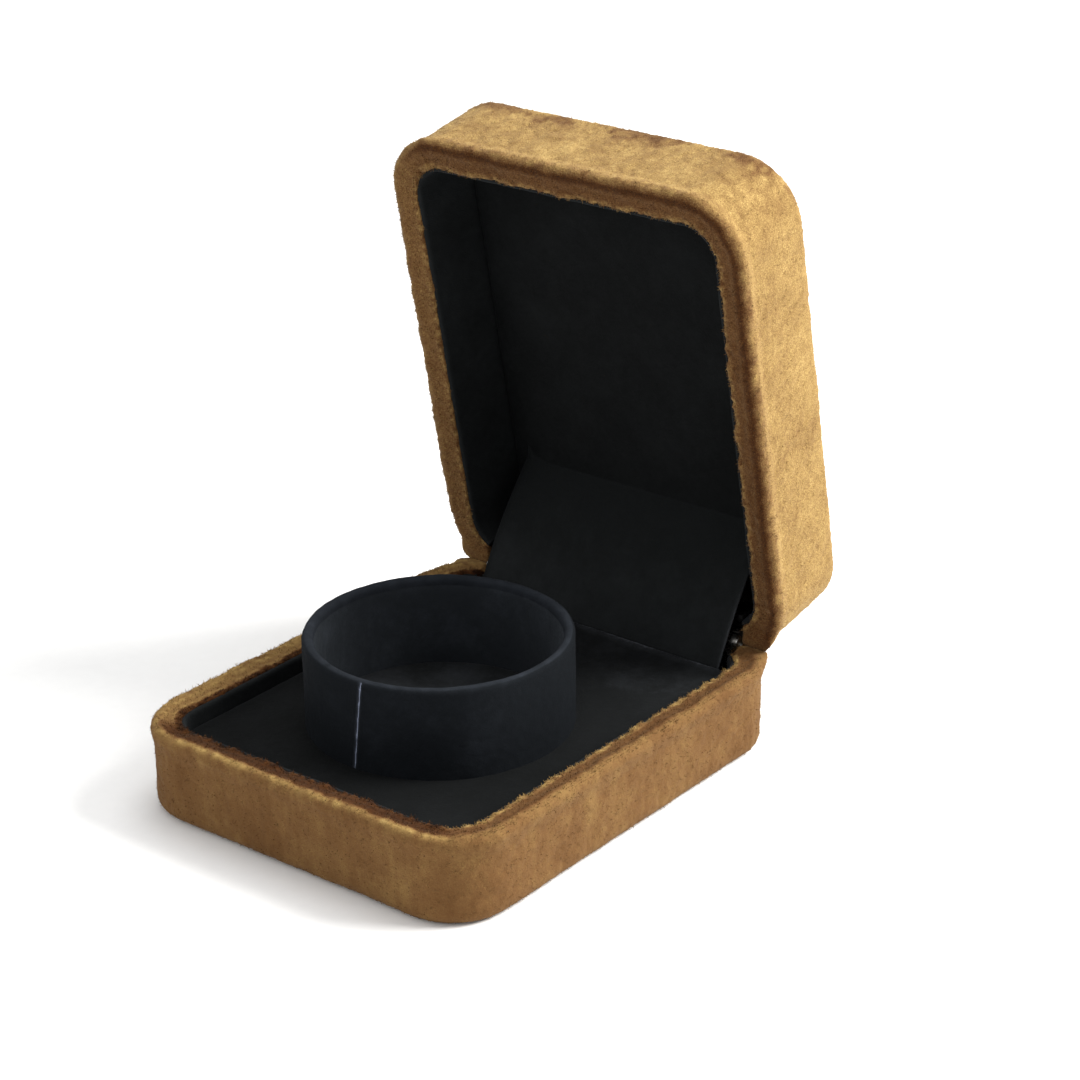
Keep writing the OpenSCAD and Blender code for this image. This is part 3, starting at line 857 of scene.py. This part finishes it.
def tube(name, node, section, seed, nap, cloth, rim_light=0.0, seam=0.0):
    """Velvet wrapped round the tube's axis, from a section [radius, z]."""
    columns = int(round(2 * math.pi * section[:, 0].max() / (0.4 * MM)))
    angle = np.arange(columns) / columns * 2 * math.pi
    way = np.stack([np.cos(angle), np.sin(angle)], 1)
    flat = section[:, :1, None] * way[None] + [0, TUBE_Y]
    z = np.broadcast_to(section[:, 1:, None], flat.shape[:2] + (1,))
    points = np.concatenate([flat, z], -1).reshape(-1, 3)
    faces = grid_faces(len(section), columns, closed=True)[:, ::-1]
    normals = normals_of(points, faces)
    around = np.tile(angle, len(section))
    away = (around - SEAM + math.pi) % (2 * math.pi) - math.pi
    outside = np.repeat(section[:, 0] > (section[:, 0].max() - 0.4 * MM), columns)
    wander = 0.07 * MM * noise(points, 4 * MM, seed + 3)
    slant = SEAM_SLANT * (points[:, 2] - (TUBE_TOP + PLATFORM[1][2]) / 2)
    from_seam = (away * TUBE_R + wander - slant) / MM
    groove = np.exp(-(from_seam / 0.28) ** 2) * outside * seam
    ridge = np.exp(-((np.abs(from_seam) - 0.7) / 0.5) ** 2) * outside * seam
    lift = 0.10 * layered(points, 8 * MM, seed) + 0.05 * noise(points, 1.2 * MM, seed + 5)
    lift = lift - 0.35 * groove + 0.12 * ridge
    points = points + normals * (lift * MM)[:, None]
    rim = np.exp(-((np.repeat(section[:, 1], columns) - TUBE_TOP) / (0.25 * MM)) ** 2)
    broken = 0.75 + 0.25 * noise(points, 2 * MM, seed + 7)
    # painted shade on the tube's right side, against the key lamp's glancing sheen there
    right = step_between(0.4, 0.85, np.cos(around - 0.7)) * outside
    naps = nap + 0.10 * layered(points, 9 * MM, seed + 9) - 0.9 * rim_light * right
    # rim_light also paints a highlight along the top of the roll and painted light down its inner
    # side
    naps = naps + rim_light * np.maximum(0.55 * rim, 0.85 * ~outside) * broken
    thread = np.exp(-((from_seam - 0.1) / 0.34) ** 2) * outside * seam
    naps = naps + 0.75 * thread * (0.85 + 0.15 * noise(points, 1.1 * MM, seed + 8))
    piece = make(name, points, faces, cloth, naps)
    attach(piece, "base")
    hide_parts(node)
    around = float(2 * math.pi * section[:, 0].mean())


wall = 0.8 * MM
reach = (TUBE_R - TUBE_IN - 0.1 * MM) / 2
over = rounded((TUBE_R - reach, TUBE_TOP - wall), (reach, wall), math.pi, 6)
roll = [(TUBE_R, PLATFORM[1][2] - 0.2 * MM), (TUBE_R, TUBE_TOP - wall), *over[1:],
        (TUBE_IN + 0.05 * MM, TUBE_TOP - 2.2 * wall)]
tube("tube_cover", "holder_sleeve", resampled(roll, 0.5 * MM, 0.1 * MM), 360, 0.50, BLACK_TUBE,
     rim_light=0.26, seam=1.0)
inner = resampled([(TUBE_IN + 0.45 * MM, TUBE_TOP - wall * 1.5),
                   (TUBE_IN + 0.12 * MM, TUBE_TOP - wall * 2.1), (TUBE_IN, TUBE_TOP - 3 * wall),
                   (TUBE_IN, PLATFORM[1][2] - 0.2 * MM)], 0.7 * MM, 0.1 * MM)
tube("tube_lining", "holder_lining", inner, 380, 0.50, BLACK_INSIDE)

# ------------------------ hinge strip and springs


def arc(start, end, turn):
    """Points [y, z] from start to end on an arc that turns by this angle, bowed forward."""
    start, end = np.array(start), np.array(end)
    chord = end - start
    radius = np.linalg.norm(chord) / (2 * math.sin(turn / 2))
    first = math.atan2(chord[1], chord[0]) + math.pi / 2 + turn / 2
    angles = first - turn * np.linspace(0, 1, 24)
    centre = start - radius * np.array([math.cos(first), math.sin(first)])
    return centre + radius * np.stack([np.cos(angles), np.sin(angles)], 1)


def open_yz(y, z):
    """Where a point [y, z] of the closed lid is with the lid open."""
    return turned(np.array([0.0, y, z]), -OPEN)[1:]


def ribbon(path, width, thick, step_x, centre_x=0.0, ruffle=None):
    """A closed strip of one thickness along a path [y, z], width wide along X."""
    way = np.gradient(path, axis=0)
    way /= np.linalg.norm(way, axis=1, keepdims=True)
    side = np.stack([-way[:, 1], way[:, 0]], 1)
    across = max(int(round(width / step_x)), 2)
    x = np.linspace(-width / 2, width / 2, across + 1) + centre_x
    rows, columns = len(path), len(x)
    layers = np.empty((2, rows, columns, 3))
    layers[..., 0] = x
    for grid, sign in zip(layers, (1, -1)):
        grid[..., 1:] = (path + side * (sign * thick / 2))[:, None]
    if ruffle is not None:
        flat = (layers[0] + layers[1]).reshape(-1, 3) / 2
        layers[..., 1:] += ruffle(flat).reshape(rows, columns, 1) * side[:, None]
    points = layers.reshape(-1, 3)
    front = grid_faces(rows, columns)[:, ::-1]
    back = front[:, ::-1] + rows * columns
    number = np.arange(rows * columns).reshape(rows, columns)
    ring = np.r_[number[0], number[1:, -1], number[-1, -2::-1], number[-2:0:-1, 0]]
    after = np.roll(ring, -1)
    rim = np.stack([ring, ring + rows * columns, after + rows * columns, after], 1)
    return points, np.vstack([front, back, rim])


STRIP_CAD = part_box("hinge_strip")
strip_thick = 0.6 * MM
strip_width = STRIP_CAD[1][0] - STRIP_CAD[0][0]
strip_y = PLATFORM[1][1] + strip_thick / 2
face_z = PAD[0][2]
low = np.array([strip_y, PLATFORM[1][2]])
high = open_yz(HINGE[1] - 20 * MM, face_z - strip_thick / 2)
tail = open_yz(HINGE[1] - 26 * MM, face_z + 0.45 * MM)
strip_path = np.vstack([[low[0], low[1] - 6 * MM], arc(low, high, math.radians(18)), tail])
strip_path = resampled(strip_path, 0.7 * MM, 0.5 * MM)


def strip_ruffle(points):
    """Slack between the glued ends: shallow upright folds and a soft grain."""
    free = step_between(low[1] - 1 * MM, low[1] + 5 * MM, points[:, 2])
    free *= step_between(high[1] + 1 * MM, high[1] - 6 * MM, points[:, 2])
    tall = points * [1, 0.35, 0.35]
    return (0.35 * layered(tall, 9 * MM, 401, 2) * free + 0.04 * noise(points, 1.5 * MM, 402)) * MM


points, faces = ribbon(strip_path, strip_width, 0.5 * MM, 0.8 * MM, ruffle=strip_ruffle)
# the strip's nap: a painted highlight along its right edge, painted shade along its left edge,
# painted light towards its foot, and a little darker towards its top
upper = step_between(low[1] + 12 * MM, high[1], points[:, 2])
painted_foot_light = step_between(low[1] + 18 * MM, low[1] + 3 * MM, points[:, 2])
edge = np.exp(-((strip_width / 2 - points[:, 0]) / (0.5 * MM)) ** 2) * (1 - upper)
painted_left_edge_shade = np.exp(-((strip_width / 2 + points[:, 0]) / (0.6 * MM)) ** 2)
strip = make("hinge_cloth", points, faces, STRIP_CLOTH,
             0.51 + 0.05 * layered(points, 7 * MM, 403) + 0.25 * edge - 0.35 * painted_left_edge_shade
             - 0.06 * upper + 0.13 * painted_foot_light)
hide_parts("hinge_strip")
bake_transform(strip)

leaf_mid = LEAVES[0][1] + 0.4 * MM
spring_low = np.array([leaf_mid, HINGE[2] - 5.2 * MM])
spring_high = open_yz(leaf_mid, HINGE[2] + 5.2 * MM)
chord = np.linalg.norm(spring_high - spring_low)
spring_path = resampled(arc(spring_low, spring_high, 4 * math.atan(2 * 3.3 * MM / chord)), 0.5 * MM)
bands = [ribbon(spring_path, 4.2 * MM, 0.3 * MM, 1.05 * MM, side * (HINGE_END - 10 * MM))
         for side in (1, -1)]
count = len(bands[0][0])
springs = make("springs", np.vstack([b[0] for b in bands]),
               np.vstack([bands[0][1], bands[1][1] + count]), SPRING_STEEL)
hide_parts("hinge_springs")
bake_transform(springs)

# ------------------------ lid pad


def simulated(piece, pinned, pressure, limit):
    """The piece after a short cloth simulation under pressure, no point moved past limit."""
    before = np.array([v.co for v in piece.data.vertices])
    group = piece.vertex_groups.new(name="pinned")
    group.add([int(i) for i in np.flatnonzero(pinned)], 1.0, "REPLACE")
    cloth = piece.modifiers.new("cloth", "CLOTH")
    cloth.settings.quality = 6
    cloth.settings.mass = 0.2
    cloth.settings.tension_stiffness = 25
    cloth.settings.compression_stiffness = 25
    cloth.settings.bending_stiffness = 4
    cloth.settings.use_pressure = True
    cloth.settings.uniform_pressure_force = pressure
    cloth.settings.vertex_group_mass = "pinned"
    cloth.settings.effector_weights.gravity = 0
    for frame_number in range(1, 21):
        bpy.context.scene.frame_set(frame_number)
    view = bpy.context.evaluated_depsgraph_get()
    after = np.array([v.co for v in piece.evaluated_get(view).data.vertices])
    piece.modifiers.clear()
    piece.vertex_groups.clear()
    bpy.context.scene.frame_set(1)
    moved = after - before
    far = np.linalg.norm(moved, axis=1, keepdims=True)
    moved *= np.minimum(1, limit / np.maximum(far, 1e-9))
    return before + moved


pad_path = board_path(2.2 * MM, *PAD, U_PLATFORM, U_PLATFORM)
pad_section = edge_section(LID_TOP - PAD[1][2], LID_TOP - PAD[0][2], 1.3 * MM, 1.1 * MM)
points, faces = swept(pad_path, pad_section)
pad = make("lid_pad", points, faces, BLACK_PAD)
moved = simulated(pad, points[:, 2] < pad_section[0, 1] + 1.2 * MM, 4.0, 0.9 * MM)
pad.data.vertices.foreach_set("co", moved.ravel())
smooth = pad.modifiers.new("smooth", "SUBSURF")
smooth.levels = smooth.render_levels = 2
view = bpy.context.evaluated_depsgraph_get()
mesh = bpy.data.meshes.new_from_object(pad.evaluated_get(view))
pad.modifiers.clear()
pad.data = mesh
points, ways = vertex_rows(mesh, "co"), vertex_rows(mesh, "normal")
lift = 0.12 * layered(points, 9 * MM, 420) + 0.05 * noise(points, 1.5 * MM, 424)
nap = 0.54 + 0.08 * layered(points, 10 * MM, 428)
mesh.vertices.foreach_set("co", lid_place(points + ways * (lift * MM)[:, None]).ravel())
store_nap(mesh, nap)
mesh.flip_normals()
mesh.update()
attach(pad, "lid")
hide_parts("lid_pad_velvet")

# ------------------------ underside

UNDER_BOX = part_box("underside_sheet")
under_path = board_path(0.9 * MM, *UNDER_BOX, UNDER, UNDER)
under_section = edge_section(0.0, 0.9 * MM, 0.3 * MM, 0.4 * MM)
underside = panel("underside_cloth", under_path, under_section, UNDERSIDE, "base", 0.5, 440,
                  swell=0.04,
                  place=lambda p: p * [1, 1, -1] + [0, 0, 0.95 * MM], flip=True)
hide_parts("underside_sheet")

# ------------------------ what stays as CAD

for names, material in {
    ("base_shell", "lid_shell"): PLASTIC,
    ("insert_foam", "lid_pad_foam"): FOAM,
    ("insert_card", "holder_core", "lid_pad_card"): BOARD,
    ("base_hinge_leaves", "lid_hinge_leaves", "hinge_pins"): STEEL,
    ("base_hinge_screws", "lid_hinge_screws"): SCREW_STEEL,
}.items():
    for name in names:
        slots = frame["nodes"][name].data.materials
        slots.clear()
        slots.append(material)

# ------------------------ floor, light and camera

floor_material = speckled("floor_paper", (0.86, 0.86, 0.855), (0.90, 0.90, 0.895), 3 * MM,
                          0.01 * MM, (0.7, 0.8))
floor = make("floor", [(-6, -6, 0), (6, -6, 0), (6, 6, 0), (-6, 6, 0)], [[0, 1, 2, 3]],
             floor_material)


def softbox(name, place, aim, size, power, colour):
    data = bpy.data.lights.new(name, "AREA")
    data.shape, data.size, data.energy, data.color = "DISK", size, power, colour
    lamp = bpy.data.objects.new(name, data)
    lamp.location = place
    lamp.rotation_euler = (Vector(aim) - Vector(place)).to_track_quat("-Z", "Y").to_euler()
    bpy.context.scene.collection.objects.link(lamp)


middle = (0, 0, 0.04)
softbox("key", (0.66, 0.55, 0.70), middle, 0.6, 22, (1, 0.985, 0.96))
softbox("front", (-0.25, -0.9, 0.55), middle, 0.9, 2.2, (1, 1, 1))
softbox("top", (0, 0.2, 1.1), middle, 0.8, 5, (1, 1, 1))

world = bpy.data.worlds.new("studio")
world.use_nodes = True
world.node_tree.nodes["Background"].inputs["Color"].default_value = (1, 1, 1, 1)
world.node_tree.nodes["Background"].inputs["Strength"].default_value = 0.65
scene = bpy.context.scene
scene.world = world
scene.view_settings.view_transform = "Standard"

lens = bpy.data.cameras.new("camera")
lens.lens, lens.sensor_width, lens.clip_end = 99.04, 36, 20
camera = bpy.data.objects.new("camera", lens)
camera.location = Vector((359.4, -422.7, 296.68)) * MM
look = Vector((21.086, 0, 58.334)) * MM - camera.location
roll_by = Matrix.Rotation(math.radians(-0.711), 4, "Z")
camera.matrix_world = (Matrix.Translation(camera.location)
                       @ look.to_track_quat("-Z", "Y").to_matrix().to_4x4() @ roll_by)
scene.collection.objects.link(camera)
scene.camera = camera
